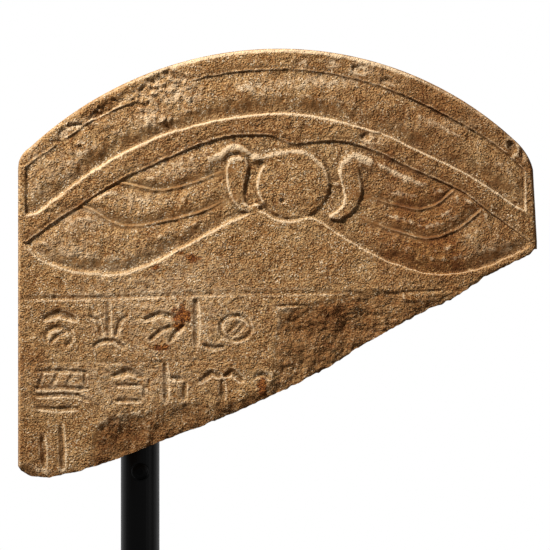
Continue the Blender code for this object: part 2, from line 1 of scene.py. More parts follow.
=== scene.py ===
import math
import bpy
import numpy as np
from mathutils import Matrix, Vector


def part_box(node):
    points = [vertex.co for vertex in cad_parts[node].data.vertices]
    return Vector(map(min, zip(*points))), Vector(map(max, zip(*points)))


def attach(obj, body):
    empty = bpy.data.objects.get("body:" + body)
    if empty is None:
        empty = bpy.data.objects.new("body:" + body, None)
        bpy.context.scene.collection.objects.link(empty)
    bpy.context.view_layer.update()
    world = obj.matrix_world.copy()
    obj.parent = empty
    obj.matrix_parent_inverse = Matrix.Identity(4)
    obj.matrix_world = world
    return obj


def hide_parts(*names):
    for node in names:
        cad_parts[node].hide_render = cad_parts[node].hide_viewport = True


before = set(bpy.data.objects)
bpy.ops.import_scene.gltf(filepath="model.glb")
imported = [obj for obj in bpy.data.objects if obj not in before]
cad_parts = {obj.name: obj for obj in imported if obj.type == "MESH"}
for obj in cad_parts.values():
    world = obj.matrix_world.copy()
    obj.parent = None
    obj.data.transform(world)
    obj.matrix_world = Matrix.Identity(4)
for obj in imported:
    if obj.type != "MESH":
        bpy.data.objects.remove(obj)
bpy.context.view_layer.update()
mm = 0.001

# The stone is drawn in millimetres on its own face: u runs right from the left edge,
# v runs down from the crown, and depth runs into the stone from the flat face.
steleValues = {
    "width": 332.0, "thickness": 65.0, "crownTop": 0.39,
    "crownRadius": 228.0, "crownCentre": 160.0, "crownLift": 0.5, "crownLean": -0.031,
    # each shoulder: where it leaves the arch, the point that pulls it, and its end
    "leftShoulder": (8.0, (0.0, 68.3), (0.0, 77.0)),
    "rightShoulder": (319.0, (327.5, 68.4), (329.5, 78.0)),
    "upperWidth": 329.5, "widensOver": (78.0, 124.0),
    "edgeRounding": 5.0, "frontRounding": 2.4,
    # how deep the carving is beside each edge, and in the middle of a sunk field
    "rimWall": 1.05, "spandrelFoot": 2.3, "bandWall": 1.75, "fieldWall": 2.0, "middle": 0.15,
    "rowWall": 1.05, "rowFoot": 1.2, "featherLine": 0.42, "bandLean": 0.028,
    "scarStep": 0.3, "scarSlope": 0.165, "handWander": 0.72,
    # how far the break, and the lowest part of each side, rise towards the back
    "riseToBack": 9.0, "riseOver": 34.0,
}

# The carving's long edges, as points that a smooth curve runs through, left to right.
# An edge's place in carvedLines is also the seed of its hand-cut wander.
rimInner = [(4.5, 77), (10, 72.5), (17, 67.5), (31, 58), (44, 49), (62, 40), (84, 31),
            (109, 22), (132, 16.5), (153, 14.5), (181, 14.5), (210, 18.5), (226, 23),
            (245, 29.5), (261, 37), (286, 50), (306, 63), (318, 72.5), (325, 79)]
bandTop = [(4, 106.5), (12, 105), (21, 98.5), (45, 80.5), (70, 65.5), (103, 52),
           (136, 45), (173, 42), (202, 46), (232, 54.5), (261, 67.5), (294, 84.5),
           (310, 95), (318, 101), (325, 104.5)]
bandBottom = [(5, 124.5), (17, 116), (37, 102.5), (70, 82.5), (103, 67.5), (130, 57.5),
              (144, 56), (161, 56), (175, 61), (189, 60.5), (202, 59.5), (225, 64.5),
              (249, 76), (286, 93.5), (302, 105), (327, 124)]
fieldLow = [(3, 124), (15, 134.5), (25, 139), (34, 142), (46, 143.5), (68, 143.5),
            (86, 137), (103, 128.5), (125, 116.5), (142, 108), (156, 104), (164, 109),
            (173, 111), (188, 108.5), (206, 119.5), (222, 129), (245, 139.5),
            (261, 144.5), (284, 144), (306, 137.5), (318, 132), (328, 127)]
upperFeathers = [(64, 85.5), (78, 89), (90, 91), (103, 89), (116, 85), (134, 78.5),
                 (218, 94), (229, 97), (241, 100), (253, 103), (261, 102.5),
                 (270, 98.5), (280, 89.5)]
lowerFeathers = [(40, 100.5), (49, 104.5), (58, 110), (66, 113), (78, 113.5),
                 (90, 111.5), (116, 105), (136, 96.5), (216, 107.5), (233, 114),
                 (249, 119), (263, 121.5), (274, 119), (282, 115), (299, 101.5)]
carvedLines = (rimInner, bandTop, bandBottom, upperFeathers, lowerFeathers, fieldLow)
upperSpans = [(60, 144), (210, 286)]
lowerSpans = [(36, 146), (208, 304)]
scarTop = [(0, 265), (20, 272), (45, 269), (46, 251), (50, 240.5), (58, 235.5), (82, 232),
           (88, 227), (126, 226.5), (136, 224), (156, 220), (160, 213.5), (163, 200),
           (164, 180), (166, 170), (171, 166.5), (187, 162), (214, 155.5), (232, 153),
           (245, 154), (247, 161), (264, 159), (276, 155), (289, 149), (302, 142.5),
           (317, 135), (328, 129.5), (332, 123)]
breakLine = [(0, 267.5), (2, 270.5), (8, 274), (20, 275), (41, 270.5), (56, 265.5),
             (65, 262.5), (92, 251.5), (118, 242), (143, 231.5), (174, 217.5), (200, 204),
             (220, 190.5), (246, 176), (276, 162), (302, 145), (317, 137.5), (328, 132),
             (331, 129), (332, 125.5)]

discValues = {"centre": (175.8, 86.8), "radius": 23.2, "tallness": 0.95, "edge": 1.2}
serpentValues = {
    "floor": 1.45, "proud": 1.8, "shoulder": 3.0,
    "heights": {"leftHead": 0.8, "left": 1.0, "right": 1.0},
    "left": [(134.0, 73.2), (135.6, 70), (140.4, 68.4), (145.9, 70), (147.8, 74.8), (146.8, 81.2),
             (145.2, 87.6), (144.4, 94), (145.2, 98.8), (148.4, 101.1), (152.3, 99.4),
             (155.2, 100.6), (153.8, 104.3), (148.4, 105.4), (142.6, 104.2), (139.2, 101.1),
             (136.4, 96.6), (134.0, 91.5), (132.9, 84.4), (132.7, 78)],
    "leftHead": [(120, 69), (128.4, 66), (131.6, 62.9), (136.4, 60.5), (142.8, 61.3),
                 (146.8, 64.5), (149.2, 66.8), (156.4, 68.4), (164.4, 66.1), (170, 64.5),
                 (170.8, 66.8), (164.4, 70), (157.2, 72.5), (150.8, 73.2), (147.6, 69.6),
                 (140.4, 66.6), (134.8, 68.2), (131.6, 71.6), (128.6, 72.5), (121, 76)],
    "right": [(206.0, 73.2), (208.5, 69.1), (214, 66.4), (220.4, 67.4), (226.8, 71.2),
              (228.8, 74.8), (225.2, 76.6), (220.4, 75.5), (218, 78), (218.8, 82.8),
              (220.4, 89.2), (219.6, 95.6), (216.4, 102), (212.4, 106.8), (206, 110.2),
              (199.6, 109.6), (198.6, 106.8), (203.4, 104.3), (207.2, 100.4), (208.4, 95.6),
              (207.2, 89.2), (205.6, 82.8), (204.6, 78)],
    "joint": [(197.5, 86), (206.5, 87.6)],
}

# Ruled lines: width, depth, points
ruledLines = [
    (2.8, 1.1, [(6, 160), (45, 159.6), (82, 158.5), (145, 156.5), (214, 156)]),
    (2.8, 0.9, [(246, 156), (287, 155)]),
    (2.4, 0.5, [(14, 201), (70, 201), (104, 200), (156, 199.5)]),
    (2.4, 0.45, [(7, 239), (30, 239.4), (45, 239)]),
]

# Knocks: centre, half sizes, depth
chips = [
    ((37.8, 50.2), (6.5, 3.0), 1.0), ((29, 55.5), (4, 5), 0.7), ((40, 63.7), (3.5, 2.2), 0.9),
    ((23, 60), (4, 3), 0.6), ((181.7, 10.2), (2.8, 2.8), 0.4), ((201.5, 9.2), (4.2, 2.6), 0.7),
    ((219.4, 13.8), (7.5, 3.6), 0.9), ((236, 22), (6, 3), 0.8), ((316.5, 64.5), (3.8, 6.5), 1.5),
    ((324, 68), (3.5, 5), 0.7), ((298, 76.5), (3, 1.1), 0.7), ((226, 58), (8, 4.5), 0.7),
    ((178.5, 116.4), (1.6, 1.4), 0.8), ((130.5, 132.4), (1.6, 1.2), 0.7),
    ((28.8, 151), (1.8, 1.5), 0.8), ((41.6, 155.4), (2.0, 1.6), 0.8),
    ((83.8, 153.5), (1.6, 1.3), 0.7), ((169, 97.9), (1.9, 1.5), 0.8), ((196, 112), (2.4, 0.9), 0.5),
    ((284.7, 54.4), (2.2, 2.0), 0.7), ((150, 33), (2, 3), 0.5), ((200, 131), (2, 1.4), 0.4),
    ((62, 96), (2, 1.4), 0.5),
]

# The two big losses on the left of the rim, as outlines
crustOutline = [(71.5, 35.8), (71, 44.7), (73.8, 49.2), (82, 51.6), (88.3, 52), (100.7, 47),
                (109.7, 42.5), (117.6, 39), (117, 27), (110, 18), (96, 12.4), (81.6, 20),
                (73.8, 26.7)]
trenchOutline = [(47.6, 40.3), (57.7, 32.5), (69, 28), (76, 23.5), (80, 24), (75.5, 28.9),
                 (67, 34.4), (60.3, 39.6), (51.4, 44.2), (44.6, 46.2)]


# A cubic from each point to the next that keeps the slope at both, level past the ends
def smoothCurve(points, at):
    known, height = np.array(points, float).T
    slope = np.gradient(height, known)
    at = np.clip(at, known[0], known[-1])
    i = np.clip(np.searchsorted(known, at) - 1, 0, len(known) - 2)
    run = known[i + 1] - known[i]
    t = (at - known[i]) / run
    first = height[i] * (1 + 2 * t) * (1 - t) ** 2 + slope[i] * run * t * (1 - t) ** 2
    return first + height[i + 1] * t * t * (3 - 2 * t) + slope[i + 1] * run * t * t * (t - 1)


def ease(x, low, high):  # nought below low, one above high, an S between
    t = np.clip((x - low) / (high - low), 0, 1)
    return t * t * (3 - 2 * t)


# Each lattice corner has a random slope. A place takes the slopes of its four corners times
# its distance from each, blended by an S curve both ways, about -1 to 1 in all.
def grainNoise(u, v, cell, seed):
    around = 409  # corners each way before the pattern repeats
    turn = np.random.default_rng(seed).uniform(0, 2 * np.pi, (around, around))
    gradU, gradV = np.cos(turn), np.sin(turn)
    x, y = u / cell + 11.7, v / cell + 5.3
    i, j = np.floor(x).astype(int), np.floor(y).astype(int)
    fx, fy = x - i, y - j
    sx, sy = fx ** 3 * (6 * fx * fx - 15 * fx + 10), fy ** 3 * (6 * fy * fy - 15 * fy + 10)

    def corner(a, b):
        ia, jb = (i + a) % around, (j + b) % around
        return gradU[ia, jb] * (fx - a) + gradV[ia, jb] * (fy - b)
    low = corner(0, 0) * (1 - sx) + corner(1, 0) * sx
    high = corner(0, 1) * (1 - sx) + corner(1, 1) * sx
    return (low * (1 - sy) + high * sy) * 1.5


def layeredNoise(u, v, layers, seed):  # the sum of noises, each a (cell, height) pair
    return sum(grainNoise(u, v, cell, seed + k) * height
               for k, (cell, height) in enumerate(layers))


# The arch: the radius less the root of its square less the square of the distance across,
# with a slight lean, and beyond it a three-point curve down each shoulder
def crownLine(u):
    s = steleValues
    across = u - s["crownCentre"]
    arc = s["crownRadius"] - np.sqrt(s["crownRadius"] ** 2 - across ** 2)
    arc = s["crownLift"] + arc + s["crownLean"] * across
    turn = np.linspace(0, 1, 60)
    for name, side in (("leftShoulder", -1), ("rightShoulder", 1)):
        leave, (pullU, pullV), (endU, endV) = s[name]
        drop = leave - s["crownCentre"]
        leaveV = s["crownLift"] + s["crownRadius"] + s["crownLean"] * drop
        leaveV -= math.sqrt(s["crownRadius"] ** 2 - drop ** 2)
        alongU = leave * (1 - turn) ** 2 + pullU * 2 * turn * (1 - turn) + endU * turn ** 2
        alongV = leaveV * (1 - turn) ** 2 + pullV * 2 * turn * (1 - turn) + endV * turn ** 2
        beyond = (u - leave) * side > 0
        arc = np.where(beyond, np.interp(u * side, np.sort(alongU * side), alongV), arc)
    return arc


def rightEdge(v):  # the stone's right side, which widens evenly below the shoulder
    s = steleValues
    start, end = s["widensOver"]
    share = np.clip((v - start) / (end - start), 0, 1)
    return s["upperWidth"] + share * (s["width"] - s["upperWidth"])


def insideGap(u, v, outline):  # distance in from a closed outline, negative outside
    gap, _ = nearPath(u, v, outline + outline[:1])
    inside = np.zeros(u.shape, bool)
    for (au, av), (bu, bv) in zip(outline, outline[1:] + outline[:1]):
        crosses = (av > v) != (bv > v)
        if av != bv:
            inside ^= crosses & (u < au + (bu - au) * (v - av) / (bv - av))
    return np.where(inside, gap, -gap)


def wander(u, seed):  # how far a hand-cut edge strays from its line: a noise along u alone
    layers = [(17, 0.6), (6, 0.5), (2.6, 0.4), (1.4, 0.15)]
    return layeredNoise(u, u * 0 + seed * 3.7, layers, seed) * steleValues["handWander"]


def edgeAt(points, u, seed):  # a carved edge with the hand's wander in it
    return smoothCurve(points, u) + wander(u, seed)


# The lowest line of the stone: straight runs, less the size of a noise where it crumbled
def breakAt(u):
    lumps = np.abs(layeredNoise(u, u * 0, [(12, 1.3), (5, 0.9), (2.4, 0.5)], 71))
    return np.interp(u, *zip(*breakLine)) - lumps * (0.45 + 0.55 * ease(u, 90, 170))


def spanShare(u, spans, ramp):  # one inside a span, nought outside, even ramps between
    return np.max([np.clip(np.minimum((u - a) / ramp, (b - u) / ramp), 0, 1)
                   for a, b in spans], axis=0)


def nearPath(u, v, points):  # how far each place is from a line, and where along it
    best = np.full(u.shape, 1e9)
    along = np.zeros(u.shape)
    lengths = [math.dist(a, b) for a, b in zip(points, points[1:])]
    total, done = sum(lengths), 0.0
    for (a, b), length in zip(zip(points, points[1:]), lengths):
        du, dv = b[0] - a[0], b[1] - a[1]
        t = np.clip(((u - a[0]) * du + (v - a[1]) * dv) / (length * length), 0, 1)
        gap = np.hypot(u - a[0] - du * t, v - a[1] - dv * t)
        closer = gap < best
        best = np.where(closer, gap, best)
        along = np.where(closer, (done + t * length) / total, along)
        done += length
    return best, along


def bow(centre, half, start, end):  # a stretch of an ellipse, in degrees, as nine points
    turn = np.radians(np.linspace(start, end, 9))
    return list(zip(centre[0] + half[0] * np.cos(turn), centre[1] - half[1] * np.sin(turn)))


# Shallow strokes between the ruled lines, which follow the carved signs in outline: width, points
signStrokes = [
    (5.0, [(17, 173), (26, 169.5), (37, 173.5)]), (3.0, bow((26, 185), (8.6, 6.6), 205, -55)),
    (2.6, [(20.5, 188.5), (25, 184), (30, 181.5)]), (3.0, [(46, 171.5), (51, 174), (53, 184)]),
    (3.4, [(57.5, 163), (58, 184)]), (3.0, [(70, 171), (65, 175), (62.5, 184)]),
    (3.2, bow((57.8, 194), (10.5, 7), 160, 20)),
    (4.4, [(81.5, 173.5), (91, 169.8), (101, 172.5)]),
    (3.6, [(84.5, 186.5), (91, 181), (97, 178)]), (3.6, [(97, 188), (101, 182), (106, 177.5)]),
    (4.4, [(113.5, 161.5), (114, 176), (113.8, 190)]),
    (3.0, [(119, 190), (125, 191.8), (132, 191)]), (2.8, bow((139, 179), (10, 8), 250, 20)),
    (2.6, bow((139, 179), (10, 8), 5, -95)), (1.8, [(134, 182.5), (142, 175)]),
    (1.8, [(138, 184), (145.5, 177)]), (1.8, [(164, 165.2), (177, 164.6), (190, 165.2)]),
    (2.8, [(12, 206.8), (28, 206.2), (44.5, 207.2)]),
    (2.8, [(11, 217.6), (28, 217.2), (45, 217.8)]), (2.4, [(15.6, 208.6), (13.4, 215.6)]),
    (2.4, [(25.4, 208.4), (21.4, 215.6)]), (2.4, [(34.6, 208.6), (31, 215.6)]),
    (2.4, [(42.6, 209.2), (42.8, 215.8)]),
    (2.8, [(12, 222.4), (26, 221.8), (39, 222.2), (44.5, 225.6)]),
    (2.8, [(12, 230), (26, 230.8), (39, 230.2)]),
    (5.0, [(61.5, 209.6), (70.5, 206.4), (79.5, 210.4)]), (2.6, [(63, 215.6), (78.6, 215.8)]),
    (2.6, [(80.8, 217.4), (80.8, 223.6)]), (2.6, [(62.5, 225.6), (79, 225.4)]),
    (3.8, [(94, 201.8), (94.6, 214), (94.6, 225.5)]), (3.6, [(98, 211), (104.5, 211.4)]),
    (3.2, [(106.6, 214.4), (106.2, 224.5)]),
    (4.4, [(116.5, 213.2), (124, 207.4), (128.6, 209.8)]),
    (4.4, [(132.6, 209.4), (137, 207), (143.5, 212.6)]), (3.8, [(130.6, 213), (131.2, 225)]),
    (3.4, bow((156, 214), (6, 5), 150, 30)), (4.2, [(15.6, 249), (16.2, 258), (16.6, 267)]),
    (4.2, [(27.4, 242), (28, 255), (28.6, 268)]),
]


# How deep the strokes and ruled lines are cut: each a groove that is deepest on its own line
# and nought at half its width, and a stroke is narrower towards both its ends
def strokeDepth(u, v):
    deep = np.zeros(u.shape)
    ragged = layeredNoise(u, v, [(2.4, 0.35), (1.2, 0.2)], 31)
    for width, points in signStrokes:
        gap, along = nearPath(u, v, points)
        half = width / 2 * (0.5 + 0.5 * np.sqrt(np.clip(np.sin(np.pi * along), 0, 1))) + 0.25
        cut = np.clip(1 - (gap + ragged * 0.3) / half, 0, 1)
        deep = np.maximum(deep, cut ** 0.8 * (0.36 + width * 0.21))
    for width, depth, points in ruledLines:
        gap, along = nearPath(u, v, points)
        worn = 0.75 + 0.45 * grainNoise(u, v * 0 + depth * 50, 14, 41)
        cut = np.clip(1 - (gap + ragged * 0.2) / (width / 2), 0, 1)
        deep = np.maximum(deep, cut * depth * worn)
    return deep


def serpentHeight(u, v, name):  # rises in a quarter round from its outline, then level
    s = serpentValues
    share = np.clip((insideGap(u, v, s[name]) + 0.3) / s["shoulder"], 0, 1)
    return s["proud"] * np.sqrt(1 - (1 - share) ** 2)


# Distance in from the nearest of the two sides and the arch, whose own distance is the drop
# below it over the root of one plus its slope squared
def outlineGap(u, v):
    across = np.linspace(0, steleValues["upperWidth"], 1200)
    slope = np.interp(u, across, np.gradient(crownLine(across), across))
    fromCrown = (v - crownLine(np.clip(u, 0, across[-1]))) / np.sqrt(1 + slope ** 2)
    return np.minimum(np.minimum(fromCrown, u), rightEdge(v) - u)


def scarReach(u, v):  # how far into the broken scar a place is, from its ragged upper edge
    ragged = layeredNoise(u, v, [(16, 1.8), (7, 1.4), (3, 0.8), (1.5, 0.4)], 51)
    closed = scarTop + [(345, 110), (345, 300), (-12, 300), (-12, 265)]
    return insideGap(u, v, closed) + ragged * 0.9


# Distance below a carved edge, square to it: the drop over the root of one plus slope squared
def acrossLine(u, v, points, seed):
    slope = (smoothCurve(points, u + 1) - smoothCurve(points, u - 1)) / 2
    return (v - edgeAt(points, u, seed)) / np.sqrt(1 + slope * slope)


def fillet(d, high):  # a fine raised line at nought, with a soft groove on both sides
    grooves = np.exp(-((d - 1.45) / 0.75) ** 2) + np.exp(-((d + 1.45) / 0.75) ** 2)
    return high * (grooves - 0.9 * np.exp(-(d / 0.75) ** 2))


# A swelling field: deep at both edges, each slope an S that ends at its reach, and level
# between, the two slopes joined as the root of the sum of their squares
def cushion(fromTop, fromLow, atTop, middle, atLow, reach=8.0, lowReach=9.0):
    down = 1 - ease(fromTop, 0.8, reach + 1)
    up = 1 - ease(fromLow, 0.5, lowReach + 1)
    return middle + np.hypot((atTop - middle) * down, (atLow - middle) * up)


# How far the surface is below the flat face, in millimetres: each field of the carving in
# turn takes over below its upper edge by an S across that edge, then come the strokes, the
# knocks, the scar and the worn outer arris. roughShare scales the noise alone.
def steleDepth(u, v, roughShare=1.0):
    s = steleValues

    def noise(layers, seed):
        return layeredNoise(u, v, layers, seed) * roughShare
    # how far below each carved edge every place is
    rim, top, bandFoot, row1, row2, wingFoot = (
        acrossLine(u, v, points, seed) for seed, points in enumerate(carvedLines))
    gap = outlineGap(u, v)
    worn = 0.85 + 0.35 * grainNoise(u, v, 30, 12)
    uneven = noise([(42, 0.45), (15, 0.38), (6, 0.28)], 11)
    share1, share2 = spanShare(u, upperSpans, 5), spanShare(u, lowerSpans, 5)
    nearest = np.min([np.abs(rim - 1), np.abs(top), np.abs(bandFoot - 1), np.abs(wingFoot),
                      np.abs(row1) + 9 * (1 - share1), np.abs(row2) + 9 * (1 - share2)], axis=0)
    strokes = strokeDepth(u, v)
    calm = (1 - 0.8 * np.exp(-nearest ** 2 / 5)) * (1 - 0.7 * np.clip(strokes / 0.4, 0, 1))
    for above, share in ((top, 1), (row1, share1), (row2, share2), (wingFoot, 1)):
        calm *= 1 - 0.6 * np.exp(-(above / 6) ** 2) * (above < 0) * share
    uneven += noise([(2.8, 0.26), (1.6, 0.12)], 16) * calm
    uneven += 0.3 * roughShare * np.clip(grainNoise(u, v, 3.4, 18) - 0.25, 0, 1) * calm

    # rim: a flat roll, with a fine line drawn along its inner edge
    depth = 0.1 + 0.4 * np.exp(-((rim + 2.0) / 0.7) ** 2) + 0.1 * ease(rim, -9, 0)

    # spandrel: deep under the rim and along the band, swelling between
    topLight = 1 + 0.6 * ease(u, 215, 270)
    spandrel = cushion(rim, -top, s["rimWall"] * topLight * worn, s["middle"],
                       s["spandrelFoot"] * worn, 8, 13)
    spandrel += noise([(9, 0.45), (3.8, 0.38)], 21) * calm * (1.6 - 0.6 * ease(u, 60, 130))
    inSpandrel = ease(u, 4.2, 5.4) * (1 - ease(u, 323.0, 324.6))
    sideways = 1.1 * np.exp(-(u - 6.5).clip(0) / 2) + 1.5 * np.exp(-(323.4 - u).clip(0) / 3)
    depth += (np.maximum(spandrel, sideways) - depth) * ease(rim, -0.5, 0.45) * inSpandrel

    leanBack = 1 + 0.7 * (1 - ease(u, 40, 150))  # the walls lean back more on the left

    # band: nearly level, a fine line along its lower edge
    band = noise([(8, 0.3), (3.6, 0.24)], 23) * calm + 0.08 + s["bandLean"] * np.clip(top, 0, 20)
    band += 0.4 * np.exp(-((bandFoot + 2.1) / 0.7) ** 2)
    depth += (band - depth) * ease(top / leanBack, -0.95, 0.6)

    # wing: three swelling rows, parted by fine raised lines
    nearBand = s["bandWall"] * worn
    wing = cushion(bandFoot, -wingFoot, nearBand, s["middle"] + 0.15, s["fieldWall"])
    rowFloor = s["middle"] + 0.1
    first = cushion(bandFoot, -row1, nearBand, rowFloor, s["rowFoot"], 6.5, 7.5)
    second = cushion(row1 - 1, -row2, s["rowWall"], rowFloor, s["rowFoot"], 6.5, 7.5)
    third = cushion(row2 - 1, -wingFoot, s["rowWall"], rowFloor + 0.15, s["fieldWall"], 7.0, 10)
    lowerPart = third + (second - third) * (1 - ease(row2, -0.5, 0.5))
    wing += (lowerPart - wing) * share2 * ease(bandFoot, 0, 3)
    wing += (first - wing) * share1 * (1 - ease(row1, -0.5, 0.5))
    feathers = fillet(row1, s["featherLine"]) * share1 + fillet(row2, s["featherLine"]) * share2
    wing += feathers * ease(bandFoot, 0.5, 2)
    wing += noise([(12, 0.4), (6, 0.4), (2.6, 0.36)], 24) * ease(-wingFoot, 0.5, 3) * calm
    depth += (wing - depth) * ease(bandFoot, -0.45, 0.55) * (1 - ease(u, 322, 329))

    # serpents and disc stand up from the sunk field
    nearMiddle = np.exp(-((u - 178) / 54) ** 8)
    level = serpentValues["floor"]
    depth += (np.maximum(depth, level) - depth) * nearMiddle * ease(bandFoot, -0.3, 0.8)
    floor = depth
    for name, height in serpentValues["heights"].items():
        raised = serpentHeight(u, v, name) * height
        depth = np.minimum(depth, np.where(raised > 0.02, level - raised, depth))
    joint, _ = nearPath(u, v, serpentValues["joint"])
    depth = depth - 0.8 * np.exp(-(joint / 1.2) ** 2)
    d = discValues
    offU, offV = u - d["centre"][0], (v - d["centre"][1]) / d["tallness"]
    fromDisc = d["radius"] + wander(u + v, 8) * 1.2 - np.hypot(offU, offV)
    discTop = -0.05 + 0.28 * np.hypot(offU, offV) ** 2 / d["radius"] ** 2
    discTop += 0.75 * ease(offV / d["radius"], 0.35, 1.0) + noise([(5, 0.2), (2.4, 0.2)], 27)
    onDisc = ease(fromDisc, -d["edge"], d["edge"] * 0.6)
    depth += (discTop - depth) * onDisc
    depth = floor + (depth - floor) * ease(bandFoot, 0.3, 1.8)

    # lower field, back up at the face, with its strokes
    face = 0.05 + 0.2 * np.exp(-np.abs(wingFoot) / 1.2)
    below = ease(wingFoot / leanBack, -1.3, 0.75)
    depth += (face - depth) * below
    depth += strokes * below

    # knocks
    ragged = layeredNoise(u, v, [(6, 0.35), (2.5, 0.25)], 61)
    for (cu, cv), (halfU, halfV), deep in chips:
        share = np.hypot((u - cu) / halfU, (v - cv) / halfV) + ragged
        facet = 1 - 0.4 * ((u - cu) / halfU + (v - cv) / halfV)  # rises to the lower right
        chipFloor = deep * facet + noise([(4, 0.45), (2, 0.3)], 64) * min(1, deep)
        depth = np.maximum(depth, (depth * 0.4 + chipFloor) * (1 - ease(share, 0.55, 1.0)))
    ragged = layeredNoise(u, v, [(7, 1.1), (3, 0.7), (1.6, 0.3)], 65)
    rough = noise([(8, 0.4), (4, 0.7), (2.4, 0.9), (1.5, 0.4)], 66)
    crust = insideGap(u, v, crustOutline) + ragged
    slant = np.clip((v - 20 + 0.45 * (u - 90)) / 30, 0, 1)
    crustDepth = 1.15 - 0.85 * slant + rough * 0.95
    depth += (crustDepth - depth) * ease(crust, -1.0, 4.0)
    trench = insideGap(u, v, trenchOutline) + ragged * 0.7
    valley = 0.2 + 1.6 * ease(rim, -10, 0.5) + rough * 0.8
    depth += np.clip(valley - depth, 0, 9) * ease(trench, -0.4, 0.9)

    # scar: no step, just running back into the stone with a rough skin
    reach = scarReach(u, v)
    inScar = ease(reach, -0.4, 3.0)
    inward = np.clip(reach, 0, None)
    rough = noise([(26, 1.1), (11, 0.6), (5, 0.35), (2.4, 0.2), (1.5, 0.1)], 81)
    scar = s["scarStep"] + s["scarSlope"] * inward + rough * ease(inward, 0, 9)
    depth += (np.maximum(scar, depth * 0.5) - depth) * inScar
    crumbled = breakAt(u) - v
    depth += 0.25 * np.exp(-np.clip(crumbled, 0, 30) / 1.3)

    # the worn outer arris, a quarter round
    r = s["frontRounding"]
    gap = np.clip(gap + noise([(12, 0.5), (4, 0.35)], 91) * 0.7, 0, r)
    arris = r - np.sqrt(np.clip(r * r - (r - gap) ** 2, 0, None))
    return depth + uneven + arris


# Columns across, and rows from the crown down to each carved edge in turn and to the break.
# Both totals are multiples of backCoarser, which is the front's steps to one of the back's.
gridValues = {"columns": 380, "rows": [16, 22, 16, 16, 16, 20, 119], "backCoarser": 5}


def columnPlaces():  # spaced by the second row of numbers at the places in the first
    place = np.linspace(0, steleValues["upperWidth"], 3000)
    spacing = np.interp(place, [0, 4, 6, 232, 250, 322, 325, 329.5],
                        [0.45, 0.5, 0.80, 0.80, 1.05, 1.05, 0.5, 0.45])
    count = np.concatenate([[0], np.cumsum(1 / spacing[:-1])])
    return np.interp(np.linspace(0, count[-1], gridValues["columns"] + 1), count, place)


print("stele: laying out the grid")
nominal = columnPlaces()


def columnU(height):  # how far right each column is at a height, allowing for the widening
    return nominal / steleValues["upperWidth"] * rightEdge(height)


def atColumns(curve):  # a curve's height at each column, settled in four rounds
    height = np.full(nominal.shape, 100.0)
    for _ in range(4):
        height = curve(columnU(height))
    return height


def carvedEdges():  # the crown, the carved edges and the break, each kept below the last
    edges = [crownLine(nominal)]
    for seed, points in enumerate(carvedLines):
        edge = atColumns(lambda u: edgeAt(points, u, seed))
        edges.append(np.maximum(edge, edges[-1] + 0.7))
    return edges + [np.maximum(atColumns(breakAt), edges[-1] + 1.5)]


def upperRows(above, below, steps):  # close together beside each edge, wider between
    gap = below - above
    q = (np.arange(steps) / steps)[:, None]
    atEdge = np.clip(0.5 * steps / gap, 0, 1)
    return above + gap * (atEdge * q + (1 - atEdge) * q * q * (3 - 2 * q))


def lowerRows(above, below, steps):  # twice as close over the rows of strokes as elsewhere
    gap = (below - above) * np.linspace(0, 1, 400)[:, None]
    place = above + gap
    density = 1 + np.exp(-gap / 4) + ease(place, 156, 161) * (1 - ease(place, 229, 236))
    passed = np.cumsum(density, 0) - density[0]
    passed /= passed[-1]
    return np.stack([np.interp(np.arange(steps) / steps, passed[:, i], place[:, i])
                     for i in range(place.shape[1])], 1)


edges = carvedEdges()
bands = [upperRows(above, below, steps)
         for above, below, steps in zip(edges, edges[1:-1], gridValues["rows"])]
bands.append(lowerRows(edges[-2], edges[-1], gridValues["rows"][-1]))
gridV = np.concatenate(bands + [edges[-1][None, :]])
gridU = columnU(gridV)
gridDepth = steleDepth(gridU, gridV)
nRows, nCols = gridV.shape
print("stele: front", nRows, "rows by", nCols, "columns")


def softened(field, reach):  # a running mean over the grid, both ways
    for axis in (0, 1):
        total = np.cumsum(np.concatenate([np.take(field, [0] * (reach + 1), axis), field,
                                          np.take(field, [-1] * reach, axis)], axis), axis)
        n = field.shape[axis]
        width = 2 * reach + 1
        field = (np.take(total, range(width, width + n), axis)
                 - np.take(total, range(0, n), axis)) / width
    return field


boxLow, boxHigh = (Vector(corner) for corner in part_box("stele_fragment"))
stoneScale = (boxHigh.x - boxLow.x) / steleValues["width"]
stoneFrontY = boxHigh.y - steleValues["thickness"] * mm


def toWorld(u, v, depth):  # drawn millimetres to metres in the part's own frame
    return np.stack([boxLow.x + u * stoneScale,
                     stoneFrontY + depth * mm,
                     boxHigh.z + (steleValues["crownTop"] - v) * stoneScale], axis=-1)


def perimeter(grid):  # the grid's edge, clockwise from the upper left
    return np.concatenate([grid[0, :-1], grid[:-1, -1], grid[-1, :0:-1], grid[:0:-1, 0]])


